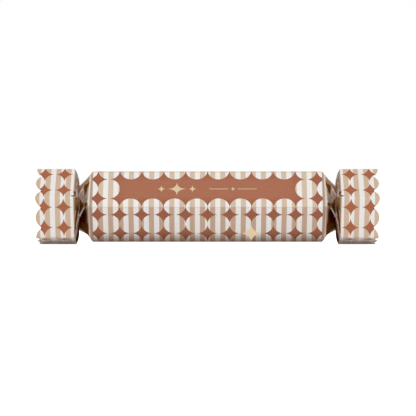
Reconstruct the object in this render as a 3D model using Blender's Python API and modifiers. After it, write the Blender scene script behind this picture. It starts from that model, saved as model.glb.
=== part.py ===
"""A hexagonal folded-card christmas cracker with its snap, gift tube, paper crown and motto.

The long axis is X, +Z is up and the front is -Y. The origin is the middle of the barrel, on its axis.
Angles round the axis are measured from the front (-Y) upwards.
"""
import math

import bmesh
import bpy
import numpy as np

for old_object in list(bpy.data.objects):
    bpy.data.objects.remove(old_object)

# Card stock and the clearance left between pieces that touch
CARD = 0.0005
GAP = 0.0003
CREASE_RADIUS = 0.0008

# Barrel: a hexagonal sleeve with a flat on top and a crease at the front
BARREL_FLATS = 0.0500
BARREL_LENGTH = 0.1632
SEAM_FLAP_WIDTH = 0.0120

# Neck: the panels fold down from the barrel to a waist and out again to the end
SHOULDER_LENGTH = 0.0098
COLLAR_LENGTH = 0.0031
WAIST_RIDGE_RADIUS = 0.0160
WAIST_VALLEY_RADIUS = 0.0088
NECK_TWIST = math.radians(45.6)
WAIST_TWIST = math.radians(24.0)
RIM_VALLEY_ANGLE = math.radians(16.0)
WAIST_VALLEY_ANGLE = math.radians(26.0)
FRILL_VALLEY_ANGLE = math.radians(30.0)
FUNNEL_SHARE = 0.375
SHOULDER_STEPS = 8
COLLAR_STEPS = 5

# Frill: the scalloped hexagonal end
FRILL_RADIUS = 0.0284
FRILL_LENGTH = 0.0273
SCALLOP_RADIUS = 0.0076
SCALLOP_DEPTH = 0.0038
SCALLOPS_PER_PANEL = 2
STEPS_PER_SCALLOP = 10

# Gift: a soft tube with a crimped tail and a screw cap
TUBE_DIAMETER = 0.0240
TUBE_BODY_LENGTH = 0.0920
CRIMP_LENGTH = 0.0060
CRIMP_THICKNESS = 0.0012
TUBE_HEAD_LENGTH = 0.0050
TUBE_HEAD_RIM = 0.0012
NOZZLE_RADIUS = 0.0042
NOZZLE_LENGTH = 0.0080
NOZZLE_BORE_RADIUS = 0.0020
SEAL_THICKNESS = 0.0004
CAP_RADIUS = 0.0095
CAP_TOP_RADIUS = 0.0085
CAP_LENGTH = 0.0180
CAP_RIBS = 24
CAP_RIB_HEIGHT = 0.0003
TUBE_OFFSET = -0.0090

# Snap: two card strips that pass each other inside a paper band
STRIP_WIDTH = 0.0080
STRIP_THICKNESS = 0.0004
STRIP_OVERLAP = 0.0240
STRIP_TAIL = 0.0040
STRIP_CORNER = 0.0015
BAND_LENGTH = 0.0200
BAND_WALL = 0.0003

# Paper crown and motto: rolls of thin paper that lie beside the tube
CROWN_RADIUS = 0.0050
CROWN_LENGTH = 0.0850
CROWN_TURNS = 4.0
CROWN_POINT_HEIGHT = 0.0120
CROWN_POINTS = 8
CROWN_PAPER = 0.00035
CROWN_PITCH = 0.0008
CROWN_BAND_LENGTH = 0.0120
MOTTO_RADIUS = 0.0038
MOTTO_LENGTH = 0.0500
MOTTO_TURNS = 2.5
MOTTO_PAPER = 0.0003
MOTTO_PITCH = 0.0008
CROWN_OFFSET = -0.0100
MOTTO_OFFSET = -0.0150
STEPS_PER_TURN = 16

# Sizes worked out from the ones above
PANELS = 6
PANEL_ANGLE = 2 * math.pi / PANELS
HALF_PANEL = PANEL_ANGLE / 2
BARREL_RADIUS = BARREL_FLATS / 2 / math.cos(HALF_PANEL)
RIM_X = BARREL_LENGTH / 2
WAIST_X = RIM_X + SHOULDER_LENGTH
FRILL_X = WAIST_X + COLLAR_LENGTH
TIP_X = FRILL_X + FRILL_LENGTH
FRILL_TURN = PANEL_ANGLE - NECK_TWIST
FLOOR_Z = -BARREL_FLATS / 2 + CARD
TUBE_RADIUS = TUBE_DIAMETER / 2
TUBE_Z = FLOOR_Z + GAP + TUBE_RADIUS
CRIMP_HALF_WIDTH = math.pi * TUBE_DIAMETER / 4 - CRIMP_THICKNESS / 2
BAND_Z = TUBE_Z + TUBE_RADIUS + GAP
LOWER_STRIP_Z = BAND_Z + BAND_WALL + GAP
UPPER_STRIP_Z = LOWER_STRIP_Z + STRIP_THICKNESS + GAP
BAND_TOP_Z = UPPER_STRIP_Z + STRIP_THICKNESS + GAP + BAND_WALL

# Colours from the object: printed card, white board, tissue and the tube's plastics
RUST = (0.392, 0.153, 0.091)
BEIGE = (0.694, 0.557, 0.434)
BOARD = (0.838, 0.815, 0.791)
GREY_BOARD = (0.520, 0.480, 0.430)
TISSUE = (0.560, 0.230, 0.130)
CREAM = (0.850, 0.780, 0.690)
FOIL = (0.720, 0.580, 0.390)

parts = bpy.data.collections.new("christmas_cracker")
bpy.context.scene.collection.children.link(parts)


def material(name, colour, roughness, metallic=0.0):
    """Makes one plain Principled material."""
    made = bpy.data.materials.new(name)
    made.use_nodes = True
    shader = made.node_tree.nodes["Principled BSDF"]
    shader.inputs["Base Color"].default_value = (*colour, 1.0)
    shader.inputs["Roughness"].default_value = roughness
    shader.inputs["Metallic"].default_value = metallic
    made.diffuse_color = (*colour, 1.0)
    return made


def place(name, mesh, colour, roughness=0.6, metallic=0.0, smooth_angle=35.0):
    """Puts a mesh into the part under its name, with its own material."""
    piece = bpy.data.objects.new(name, mesh)
    parts.objects.link(piece)
    mesh.materials.append(material(name, colour, roughness, metallic))
    mesh.shade_smooth()
    mesh.set_sharp_from_angle(angle=math.radians(smooth_angle))
    return piece


def wall(piece, thickness, offset=-1.0):
    """Gives an open surface its thickness, inwards unless told otherwise."""
    solid = piece.modifiers.new("wall", "SOLIDIFY")
    solid.thickness = thickness
    solid.offset = offset
    solid.use_even_offset = True
    return solid


def on_axis(x, radius, angle):
    """A point at an angle round the long axis, counted from the front upwards."""
    return (x, -radius * math.cos(angle), radius * math.sin(angle))


def hexagon_radius(vertex_radius, from_vertex):
    """How far a hexagon's side lies from the axis, at an angle counted from one of its vertices."""
    return vertex_radius * math.cos(HALF_PANEL) / math.cos(HALF_PANEL - from_vertex)


def mix(a, b, t):
    """A value part of the way from a to b."""
    return a + (b - a) * t


def loft(name, rings, closed=True, looped=False, flip=False):
    """Joins rings of equal counts with quads. The faces look outwards when x rises along the rings.

    A closed ring joins its last point to its first, and a looped loft its last ring to its first.
    """
    count = len(rings[0])
    points = [point for ring in rings for point in ring]
    faces = []
    rows = len(rings) if looped else len(rings) - 1
    span = count if closed else count - 1
    for row in range(rows):
        here = row * count
        beyond = (row + 1) % len(rings) * count
        for column in range(span):
            following = (column + 1) % count
            face = (here + column, here + following, beyond + following, beyond + column)
            faces.append(face if flip else face[::-1])
    mesh = bpy.data.meshes.new(name)
    mesh.from_pydata(points, [], faces)
    mesh.update()
    return mesh


def facing_out(mesh, twisted=False):
    """Closes a loft's open ends, if it has any, and turns all its faces outwards.

    A twisted loft's four-cornered faces aren't flat, so each is split along its shorter diagonal.
    """
    work = bmesh.new()
    work.from_mesh(mesh)
    bmesh.ops.holes_fill(work, edges=work.edges[:], sides=0)
    if twisted:
        bmesh.ops.triangulate(work, faces=work.faces[:], quad_method="SHORT_EDGE")
    bmesh.ops.recalc_face_normals(work, faces=work.faces[:])
    work.to_mesh(mesh)
    work.free()
    return mesh


def sleeve_outline():
    """The card's outer line in the YZ plane: six panels and a glue flap that tucks inside the first."""
    bend = math.asin(CREASE_RADIUS / BARREL_RADIUS)
    beside = hexagon_radius(BARREL_RADIUS, bend)
    crest = (BARREL_RADIUS + beside) / 2
    seam = math.pi
    outline = [on_axis(0, BARREL_RADIUS, seam)]
    for panel in range(1, PANELS):
        crease = seam - panel * PANEL_ANGLE
        outline.append(on_axis(0, beside, crease + bend))
        outline.append(on_axis(0, crest, crease))
        outline.append(on_axis(0, beside, crease - bend))
    corner = np.array(on_axis(0, BARREL_RADIUS, seam))
    arriving = corner - np.array(on_axis(0, BARREL_RADIUS, seam + PANEL_ANGLE))
    leaving = np.array(on_axis(0, BARREL_RADIUS, seam - PANEL_ANGLE)) - corner
    tuck = corner - arriving / BARREL_RADIUS * (CARD + GAP) / math.sin(PANEL_ANGLE)
    outline.append(tuple(tuck))
    outline.append(tuple(tuck + leaving / BARREL_RADIUS * SEAM_FLAP_WIDTH))
    return outline


def barrel_sleeve():
    """One strip of card bent at the creases, its flap glued inside the upper rear panel."""
    rings = [[(x, y, z) for _, y, z in sleeve_outline()] for x in (-RIM_X, 0.0, RIM_X)]
    mesh = loft("barrel_sleeve", rings, closed=False, flip=True)
    wall(place("barrel_sleeve", mesh, RUST, 0.55), CARD)


def shoulder_fall(s):
    """How far a ridge has come from the rim's radius to the waist's, for s from 0 to 1."""
    return s**1.15


def star_ring(x, ridge_radius, valley_radius, twist, valley_angle):
    """A section of the neck: a ridge that runs on from each crease, and a valley under each ridge."""
    ring = []
    for panel in range(PANELS):
        ridge = panel * PANEL_ANGLE - twist
        ring.append(on_axis(x, valley_radius, ridge - valley_angle))
        ring.append(on_axis(x, ridge_radius, ridge))
    return ring


def shoulder_section(s):
    """The shoulder's section at s, from 0 at the barrel's rim to 1 at the waist.

    It starts as a plain hexagonal funnel. Past the funnel's share the valleys sink and the twist grows.
    """
    ridge_radius = mix(BARREL_RADIUS, WAIST_RIDGE_RADIUS, shoulder_fall(s))
    valley_angle = mix(RIM_VALLEY_ANGLE, WAIST_VALLEY_ANGLE, s)
    sunk = max(0.0, (s - FUNNEL_SHARE) / (1 - FUNNEL_SHARE))
    flat_valley = hexagon_radius(ridge_radius, valley_angle)
    return (
        mix(RIM_X + GAP, WAIST_X, s),
        ridge_radius,
        mix(flat_valley, WAIST_VALLEY_RADIUS, sunk**2 * (3 - 2 * sunk)),
        WAIST_TWIST * s**2.5,
        valley_angle,
    )


def collar_section(s):
    """The collar's section at s, from 0 at the waist to 1 at the frill. Its wall bulges outwards."""
    rim_valley = hexagon_radius(FRILL_RADIUS, FRILL_VALLEY_ANGLE)
    rise = 1 - (1 - s) ** 1.5
    return (
        mix(WAIST_X + GAP, FRILL_X, s),
        mix(WAIST_RIDGE_RADIUS, FRILL_RADIUS, rise),
        mix(WAIST_VALLEY_RADIUS, rim_valley, rise),
        mix(WAIST_TWIST, NECK_TWIST, s),
        mix(WAIST_VALLEY_ANGLE, FRILL_VALLEY_ANGLE, s),
    )


def folded_half(side, name, section, steps):
    """One folded half of a neck: its outer skin, and an inner skin one card's thickness within.

    Both skins share their sections' planes, so the inner one is drawn in by the card's thickness
    as it is measured across a slope: further where the folds fall steeply.
    """
    outer = []
    inner = []
    for step in range(steps + 1):
        before = section(max(0, step - 1) / steps)
        after = section(min(steps, step + 1) / steps)
        x, ridge_radius, valley_radius, twist, valley_angle = section(step / steps)
        run = after[0] - before[0]
        ridge_wall = CARD * math.hypot(1.0, (after[1] - before[1]) / run)
        valley_wall = CARD * math.hypot(1.0, (after[2] - before[2]) / run)
        outer.append(star_ring(side * x, ridge_radius, valley_radius, twist, valley_angle))
        inner.append(
            star_ring(
                side * x, ridge_radius - ridge_wall, valley_radius - valley_wall, twist, valley_angle
            )
        )
    mesh = facing_out(loft(name, outer + inner[::-1], looped=True), twisted=True)
    place(name, mesh, BEIGE, 0.6, smooth_angle=20.0)


def neck(side, name):
    """The two folded halves of one neck, which meet at the waist."""
    folded_half(side, f"{name}_shoulder", shoulder_section, SHOULDER_STEPS)
    folded_half(side, f"{name}_collar", collar_section, COLLAR_STEPS)


def scallop_edge(across):
    """How far the cut edge lies back from the tips, at a distance from a scallop's centre line."""
    inside = min(abs(across), SCALLOP_RADIUS)
    back = SCALLOP_RADIUS - math.sqrt(SCALLOP_RADIUS**2 - inside**2)
    return min(back, SCALLOP_DEPTH)


def frill(side, name):
    """A hexagonal collar of card, its outer edge cut round the printed circles."""
    inner = []
    outer = []
    steps = SCALLOPS_PER_PANEL * STEPS_PER_SCALLOP
    scallop_width = FRILL_RADIUS / SCALLOPS_PER_PANEL
    for panel in range(PANELS):
        start = panel * PANEL_ANGLE + FRILL_TURN
        a = np.array(on_axis(0, FRILL_RADIUS, start))
        b = np.array(on_axis(0, FRILL_RADIUS, start + PANEL_ANGLE))
        for step in range(steps):
            _, y, z = mix(a, b, step / steps)
            turn = step / STEPS_PER_SCALLOP
            across = (turn - round(turn)) * scallop_width
            inner.append((side * (FRILL_X + GAP), y, z))
            outer.append((side * (TIP_X - scallop_edge(across)), y, z))
    middle = [(side * (TIP_X - SCALLOP_DEPTH - CARD), y, z) for _, y, z in inner]
    mesh = loft(f"{name}_frill", [inner, middle, outer], flip=side < 0)
    wall(place(f"{name}_frill", mesh, RUST, 0.55), CARD)


def snap_strip(side, name, z):
    """One card strip of the snap, from past the middle of the barrel out through the waist."""
    inner_x = -side * STRIP_OVERLAP / 2
    outer_x = side * (FRILL_X + STRIP_TAIL)
    work = bmesh.new()
    bmesh.ops.create_cube(work, size=1.0)
    size = (abs(outer_x - inner_x), STRIP_WIDTH, STRIP_THICKNESS)
    middle = ((outer_x + inner_x) / 2, 0.0, z + STRIP_THICKNESS / 2)
    bmesh.ops.scale(work, vec=size, verts=work.verts[:])
    bmesh.ops.translate(work, vec=middle, verts=work.verts[:])
    upright = [edge for edge in work.edges if abs(edge.verts[0].co.z - edge.verts[1].co.z) > 0.0001]
    bmesh.ops.bevel(work, geom=upright, offset=STRIP_CORNER, segments=3, affect="EDGES", profile=0.5)
    mesh = bpy.data.meshes.new(f"{name}_snap_strip")
    work.to_mesh(mesh)
    work.free()
    place(f"{name}_snap_strip", mesh, GREY_BOARD, 0.8)


def snap_band():
    """The paper band that holds the overlapping strips together."""
    half_width = STRIP_WIDTH / 2 + GAP + BAND_WALL
    corners = [
        (-half_width, BAND_Z),
        (half_width, BAND_Z),
        (half_width, BAND_TOP_Z),
        (-half_width, BAND_TOP_Z),
    ]
    rings = [[(x, y, z) for y, z in corners] for x in (-BAND_LENGTH / 2, BAND_LENGTH / 2)]
    wall(place("snap_band", loft("snap_band", rings), BOARD, 0.7), BAND_WALL)


def turned(name, profile, steps=48, centre_z=0.0):
    """A solid turned about a line along X. The profile is a closed loop of (x, radius) points."""
    rings = []
    for x, radius in profile:
        ring = []
        for step in range(steps):
            angle = math.tau * step / steps
            point = on_axis(x, radius, angle)
            ring.append((point[0], point[1], point[2] + centre_z))
        rings.append(ring)
    return facing_out(loft(name, rings, looped=True))


TUBE_MOUTH_X = TUBE_OFFSET + TUBE_BODY_LENGTH / 2
HEAD_X = TUBE_MOUTH_X + GAP
NOZZLE_X = HEAD_X + TUBE_HEAD_RIM + TUBE_HEAD_LENGTH
NOZZLE_END_X = NOZZLE_X + NOZZLE_LENGTH
CAP_X = NOZZLE_X + GAP


def gift_tube():
    """The soft tube: round at the head, squeezed flat at the tail with its girth kept the same."""
    steps = 40
    stations = 12
    tail_x = TUBE_OFFSET - TUBE_BODY_LENGTH / 2
    rings = []
    for station in range(stations + 2):
        s = min(1.0, station / stations)
        x = mix(TUBE_MOUTH_X, tail_x + CRIMP_LENGTH, s)
        if station > stations:
            x = tail_x
        half_height = mix(TUBE_RADIUS, CRIMP_THICKNESS / 2, s**1.5)
        half_width = mix(TUBE_RADIUS, CRIMP_HALF_WIDTH, s**0.9)
        power = mix(1.0, 0.75, s)
        ring = []
        for step in range(steps):
            angle = math.tau * step / steps
            cosine, sine = math.cos(angle), math.sin(angle)
            y = math.copysign(abs(cosine) ** power, cosine) * half_width
            z = math.copysign(abs(sine) ** power, sine) * half_height
            ring.append((x, -y, z + TUBE_Z))
        rings.append(ring)
    place("gift_tube", facing_out(loft("gift_tube", rings[::-1])), CREAM, 0.35)


def gift_tube_head():
    """The moulded head that closes the tube: a rim, a cone and the nozzle with its bore."""
    profile = [
        (HEAD_X, NOZZLE_BORE_RADIUS),
        (HEAD_X, TUBE_RADIUS),
        (HEAD_X + TUBE_HEAD_RIM, TUBE_RADIUS),
        (NOZZLE_X, CAP_RADIUS),
        (NOZZLE_X, NOZZLE_RADIUS),
        (NOZZLE_END_X, NOZZLE_RADIUS),
        (NOZZLE_END_X, NOZZLE_BORE_RADIUS),
    ]
    place("gift_tube_head", turned("gift_tube_head", profile, 40, TUBE_Z), BOARD, 0.4)


def gift_tube_seal():
    """The foil disc over the nozzle."""
    work = bmesh.new()
    bmesh.ops.create_cone(
        work,
        cap_ends=True,
        segments=32,
        radius1=NOZZLE_RADIUS,
        radius2=NOZZLE_RADIUS,
        depth=SEAL_THICKNESS,
    )
    mesh = bpy.data.meshes.new("gift_tube_seal")
    work.to_mesh(mesh)
    work.free()
    seal = place("gift_tube_seal", mesh, FOIL, 0.25, 1.0)
    seal.location = (NOZZLE_END_X + GAP + SEAL_THICKNESS / 2, 0.0, TUBE_Z)
    seal.rotation_euler = (0.0, math.pi / 2, 0.0)


def gift_tube_cap():
    """The ribbed screw cap. Its origin is on the axis that it turns about."""
    socket_radius = NOZZLE_RADIUS + GAP
    socket_depth = NOZZLE_LENGTH + GAP + SEAL_THICKNESS + GAP
    skirt = 0.08 * CAP_LENGTH
    steps = CAP_RIBS * 4
    profile = [
        (0.0, socket_radius, 0.0),
        (0.0, CAP_RADIUS, 0.0),
        (skirt, CAP_RADIUS, 1.0),
        (CAP_LENGTH - skirt, CAP_TOP_RADIUS, 1.0),
        (CAP_LENGTH, CAP_TOP_RADIUS - skirt / 2, 0.0),
    ]
    rings = []
    for x, radius, ribbed in profile:
        ring = []
        for step in range(steps):
            angle = math.tau * step / steps
            rib = ribbed * CAP_RIB_HEIGHT * (step % 4 in (0, 1))
            ring.append(on_axis(x, radius + rib, angle))
        rings.append(ring)
    socket = [on_axis(socket_depth, socket_radius, math.tau * step / steps) for step in range(steps)]
    mesh = facing_out(loft("gift_tube_cap", [socket] + rings))
    cap = place("gift_tube_cap", mesh, RUST, 0.3)
    cap.location = (CAP_X, 0.0, TUBE_Z)


def nest_beside_tube(radius, side):
    """Where a roll lies in the wedge between the tube and the lower sloping panel.

    It touches the panel and the tube's broad tail with the usual clearance, so its centre is where
    a line parallel to the panel meets a circle round the tube's middle.
    """
    apothem = BARREL_FLATS / 2 - CARD
    panel = apothem - GAP - radius
    reach = CRIMP_HALF_WIDTH + GAP + radius
    normal_y, normal_z = math.cos(HALF_PANEL), -math.sin(HALF_PANEL)
    foot = panel - TUBE_Z * normal_z
    along = math.sqrt(max(reach**2 - foot**2, 0.0))
    y = foot * normal_y - along * normal_z
    z = TUBE_Z + foot * normal_z + along * normal_y
    return side * y, z


def paper_roll(name, centre, radius, length, turns, paper, pitch, points=0, point_height=0.0):
    """A sheet of paper rolled up along X, with a zigzag edge where it has points."""
    offset, centre_y, centre_z = centre
    steps = int(turns * STEPS_PER_TURN)
    edges = ([], [])
    for face, line in enumerate(edges):
        for step in range(steps + 1):
            turn = step / STEPS_PER_TURN
            angle = math.tau * turn
            r = radius - face * paper - pitch * turn
            y = centre_y + r * math.cos(angle)
            z = centre_z + r * math.sin(angle)
            zigzag = abs((step / steps * points) % 1.0 - 0.5) * 2 if points else 1.0
            line.append((y, z, zigzag))
    outer, inner = edges
    loop = outer + inner[::-1]
    near = [(offset - length / 2, y, z) for y, z, _ in loop]
    far = [(offset + length / 2 - (1 - zig) * point_height, y, z) for y, z, zig in loop]
    work = bmesh.new()
    rows = []
    for ring in (near, far):
        rows.append([work.verts.new(point) for point in ring])
    count = len(loop)
    for index in range(count):
        following = (index + 1) % count
        work.faces.new((rows[0][index], rows[0][following], rows[1][following], rows[1][index]))
    for row in rows:
        for index in range(steps):
            opposite = count - 1 - index
            work.faces.new((row[index], row[index + 1], row[opposite - 1], row[opposite]))
    bmesh.ops.recalc_face_normals(work, faces=work.faces[:])
    mesh = bpy.data.meshes.new(name)
    work.to_mesh(mesh)
    work.free()
    return place(name, mesh, TISSUE if points else BOARD, 0.75)


def crown_band(centre):
    """The narrow paper band that keeps the crown rolled up."""
    steps = 28
    rings = []
    for end in (-1, 1):
        ring = []
        for step in range(steps):
            point = on_axis(end * CROWN_BAND_LENGTH / 2, CROWN_RADIUS, math.tau * step / steps)
            ring.append(tuple(np.add(point, centre)))
        rings.append(ring)
    wall(place("crown_band", loft("crown_band", rings), BOARD, 0.6), BAND_WALL)


barrel_sleeve()
for side, name in ((-1, "left"), (1, "right")):
    neck(side, name)
    frill(side, name)
snap_strip(-1, "left", UPPER_STRIP_Z)
snap_strip(1, "right", LOWER_STRIP_Z)
snap_band()
gift_tube()
gift_tube_head()
gift_tube_seal()
gift_tube_cap()
crown_centre = (CROWN_OFFSET, *nest_beside_tube(CROWN_RADIUS, 1))
motto_centre = (MOTTO_OFFSET, *nest_beside_tube(MOTTO_RADIUS, -1))
paper_roll(
    "paper_crown",
    crown_centre,
    CROWN_RADIUS - BAND_WALL - GAP,
    CROWN_LENGTH,
    CROWN_TURNS,
    CROWN_PAPER,
    CROWN_PITCH,
    CROWN_POINTS,
    CROWN_POINT_HEIGHT,
)
crown_band(crown_centre)
paper_roll(
    "motto_slip", motto_centre, MOTTO_RADIUS, MOTTO_LENGTH, MOTTO_TURNS, MOTTO_PAPER, MOTTO_PITCH
)
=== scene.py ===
"""The looks of a hexagonal folded-card christmas cracker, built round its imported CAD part.

Metres, +Z up. The long axis is X and the front is -Y, as in the part. Angles round the axis count
from the front upwards. Print coordinates run over the card as it lay flat: along the cracker from
its middle, and round it from the front crease upwards.
"""
import math

import bpy
import numpy as np
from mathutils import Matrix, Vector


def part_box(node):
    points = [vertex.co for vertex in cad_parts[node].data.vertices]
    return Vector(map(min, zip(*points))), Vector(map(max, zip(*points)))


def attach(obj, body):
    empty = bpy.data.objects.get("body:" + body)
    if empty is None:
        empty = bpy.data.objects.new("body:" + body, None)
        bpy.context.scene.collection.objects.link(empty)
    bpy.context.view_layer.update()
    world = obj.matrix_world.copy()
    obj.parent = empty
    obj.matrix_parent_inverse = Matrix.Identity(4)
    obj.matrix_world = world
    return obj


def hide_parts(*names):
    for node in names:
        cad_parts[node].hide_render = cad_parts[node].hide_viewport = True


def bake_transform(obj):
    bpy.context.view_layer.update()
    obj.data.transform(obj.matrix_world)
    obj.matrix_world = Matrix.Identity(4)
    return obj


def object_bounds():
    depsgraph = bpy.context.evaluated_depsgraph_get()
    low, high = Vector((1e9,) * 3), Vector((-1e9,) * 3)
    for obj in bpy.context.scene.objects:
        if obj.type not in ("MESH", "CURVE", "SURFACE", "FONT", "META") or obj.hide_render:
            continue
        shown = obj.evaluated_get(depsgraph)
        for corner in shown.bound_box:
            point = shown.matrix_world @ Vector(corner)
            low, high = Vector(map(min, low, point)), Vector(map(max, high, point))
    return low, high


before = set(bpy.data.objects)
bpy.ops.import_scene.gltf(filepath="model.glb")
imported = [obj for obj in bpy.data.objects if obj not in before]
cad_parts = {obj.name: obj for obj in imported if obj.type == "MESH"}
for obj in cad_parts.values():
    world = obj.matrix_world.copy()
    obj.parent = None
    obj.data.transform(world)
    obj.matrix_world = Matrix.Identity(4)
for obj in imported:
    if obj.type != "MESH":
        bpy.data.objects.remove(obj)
cad_low, cad_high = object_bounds()


# BARREL SLEEVE
# One strip of printed folding boxboard, creased into six panels. Its glue flap tucks inside the
# upper rear panel. The print is circles of upright white and beige stripes on rust, with a plain
# rust band on the upper front panel that carries small ornaments in gold foil.
SIDES = 6
SIDE_ANGLE = 2 * math.pi / SIDES
BOARD_THICKNESS = 0.0005
sleeve_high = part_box("barrel_sleeve")[1]
RIM_X = sleeve_high.x
BARREL_RADIUS = sleeve_high.z / math.cos(SIDE_ANGLE / 2)
FOLD_SETBACK = 0.0005
FLAP_WIDTH = 0.0120
FLAP_TUCK = 0.0009
SLEEVE_ROWS = 40
EDGE_STEP_SHARE = 0.004
FOLD_NUMBERS = np.arange(-SIDES // 2, SIDES // 2 + 1)
TOP_PANEL = 1.0
UPPER_FRONT = 0.0
LOWER_FRONT = -1.0
PRINT_VALUES = 5
COURSE_VALUES = 6


def linear(red, green, blue):
    """A colour in screen values from 0 to 255, as the linear colour a shader takes.

    Each share above 0.04045 is raised by 0.055, divided by 1.055 and taken to the power 2.4.
    """
    share = np.array([red, green, blue]) / 255
    curve = np.where(share > 0.04045, ((share + 0.055) / 1.055) ** 2.4, share / 12.92)
    return (*curve.tolist(), 1.0)


def round_axis(x, radius, angle):
    """Points round the long axis: y is minus radius times cosine, z is radius times sine."""
    x, radius, angle = np.broadcast_arrays(x, radius, angle)
    return np.stack([x, -radius * np.cos(angle), radius * np.sin(angle)], axis=-1)


def fold_rows(corners, setback, bend_steps=4, flat_steps=5):
    """Softens the folds of rows of card corners, each corner a place and two print coordinates.

    A flat is the straight line between two corners, short of each by the setback. A fold is the
    quadratic curve from the end of one flat to the start of the next with the corner as its
    middle point. The two ends of a row keep their corners.
    """
    here, beyond = corners[:, :-1], corners[:, 1:]
    length = np.linalg.norm((beyond - here)[..., :3], axis=-1, keepdims=True)
    share = np.minimum(setback / length, 0.4)
    start = here + (beyond - here) * share
    end = beyond - (beyond - here) * share
    start[:, 0] = here[:, 0]
    end[:, -1] = beyond[:, -1]
    t = np.linspace(0, 1, flat_steps, endpoint=False)[:, None]
    flats = start[:, :, None] * (1 - t) + end[:, :, None] * t
    b = np.linspace(0, 1, bend_steps, endpoint=False)[:, None]
    folds = end[:, :-1, None] * (1 - b) ** 2
    folds = folds + corners[:, 1:-1, None] * 2 * b * (1 - b) + start[:, 1:, None] * b**2
    pairs = np.concatenate([flats[:, :-1], folds], axis=2)
    pairs = pairs.reshape(len(corners), -1, corners.shape[-1])
    return np.concatenate([pairs, flats[:, -1], corners[:, -1:]], axis=1)


def close_ends(steps):
    """Adds a step close to each end of a row of steps, so a cut edge's shading stays narrow."""
    margin = EDGE_STEP_SHARE * (steps[-1] - steps[0])
    return np.sort(np.append(steps, [steps[0] + margin, steps[-1] - margin]))


def card_piece(name, grid, materials, flip=False):
    """A sheet of card from a grid of places and print coordinates, one quad per cell.

    Its faces look outwards where x rises along the rows and the angle along the columns. The
    wall goes inwards: the inside takes the second material and the cut edges take the third. A
    sixth value is a point's share of the way from the barrel or the end to the waist.
    """
    rows, columns, values = grid.shape
    index = np.arange(rows * columns).reshape(rows, columns)
    quads = np.stack([index[:-1, :-1], index[1:, :-1], index[1:, 1:], index[:-1, 1:]], axis=-1)
    quads = quads.reshape(-1, 4)
    if flip:
        quads = quads[:, ::-1]
    mesh = bpy.data.meshes.new(name)
    mesh.from_pydata(grid[..., :3].reshape(-1, 3).tolist(), [], quads.tolist())
    prints = grid[..., 3:5].reshape(-1, 2)[quads.ravel()]
    mesh.uv_layers.new(name="print").data.foreach_set("uv", prints.astype(np.float32).ravel())
    if values == COURSE_VALUES:
        data = mesh.attributes.new("course", "FLOAT", "POINT").data
        data.foreach_set("value", grid[..., 5].astype(np.float32).ravel())
    mesh.shade_smooth()
    for material in materials:
        mesh.materials.append(material)
    piece = bpy.data.objects.new(name, mesh)
    bpy.context.scene.collection.objects.link(piece)
    wall = piece.modifiers.new("wall", "SOLIDIFY")
    wall.thickness = BOARD_THICKNESS
    wall.offset = -1.0
    wall.material_offset = 1
    wall.material_offset_rim = 2
    return piece


def wire(tree, kind, inputs=(), **settings):
    """Adds a shader node. Inputs are values, or other nodes' outputs to link."""
    made = tree.nodes.new("ShaderNode" + kind)
    for name, value in settings.items():
        setattr(made, name, value)
    for socket, value in dict(inputs).items():
        if isinstance(value, bpy.types.NodeSocket):
            tree.links.new(value, made.inputs[socket])
        else:
            made.inputs[socket].default_value = value
    return made


def reckon(tree, operation, *values):
    """One step of arithmetic on values or other nodes' outputs."""
    return wire(tree, "Math", dict(enumerate(values)), operation=operation).outputs[0]


def ramp(tree, value, start, end, low=0.0, high=1.0, how="LINEAR"):
    """Runs from low to high while a value goes from start to end, and stays flat outside."""
    inputs = {0: value, 1: start, 2: end, 3: low, 4: high}
    return wire(tree, "MapRange", inputs, interpolation_type=how).outputs[0]


def product(tree, first, *others):
    """Masks or values multiplied together."""
    for other in others:
        first = reckon(tree, "MULTIPLY", first, other)
    return first


def either(tree, first, *others):
    """The largest of some masks."""
    for other in others:
        first = reckon(tree, "MAXIMUM", first, other)
    return first


def outside(tree, mask):
    """Where a mask isn't: one less the mask."""
    return reckon(tree, "SUBTRACT", 1.0, mask)


def same(tree, value, number):
    """Whether a whole value is a given number."""
    return reckon(tree, "COMPARE", value, number, 0.5)


def part_way(tree, share, base, top):
    """A share of the way from one value to another."""
    return wire(tree, "Mix", {0: share, 2: base, 3: top}).outputs[0]


def parts_of(tree, vector):
    """A vector's three values."""
    return wire(tree, "SeparateXYZ", {0: vector}).outputs


def tint(tree, share, base, top, how="MIX"):
    """A share of one colour over another."""
    mixed = wire(tree, "Mix", {0: share, 6: base, 7: top}, data_type="RGBA", blend_type=how)
    return mixed.outputs[2]


def times(tree, ink, shade):
    """A colour multiplied by a shade or by another colour."""
    return tint(tree, 1.0, ink, shade, "MULTIPLY")


def new_group(name, inputs, outputs):
    """An empty shader node group with its float or vector sockets, and its two end nodes."""
    tree = bpy.data.node_groups.new(name, "ShaderNodeTree")
    for socket, kind in inputs:
        tree.interface.new_socket(name=socket, in_out="INPUT", socket_type=f"NodeSocket{kind}")
    for socket, kind in outputs:
        tree.interface.new_socket(name=socket, in_out="OUTPUT", socket_type=f"NodeSocket{kind}")
    return tree, tree.nodes.new("NodeGroupInput").outputs, tree.nodes.new("NodeGroupOutput")


def use_group(tree, group, inputs):
    """Places a node group in a material and returns its outputs."""
    return wire(tree, "Group", inputs, node_tree=group).outputs


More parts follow.
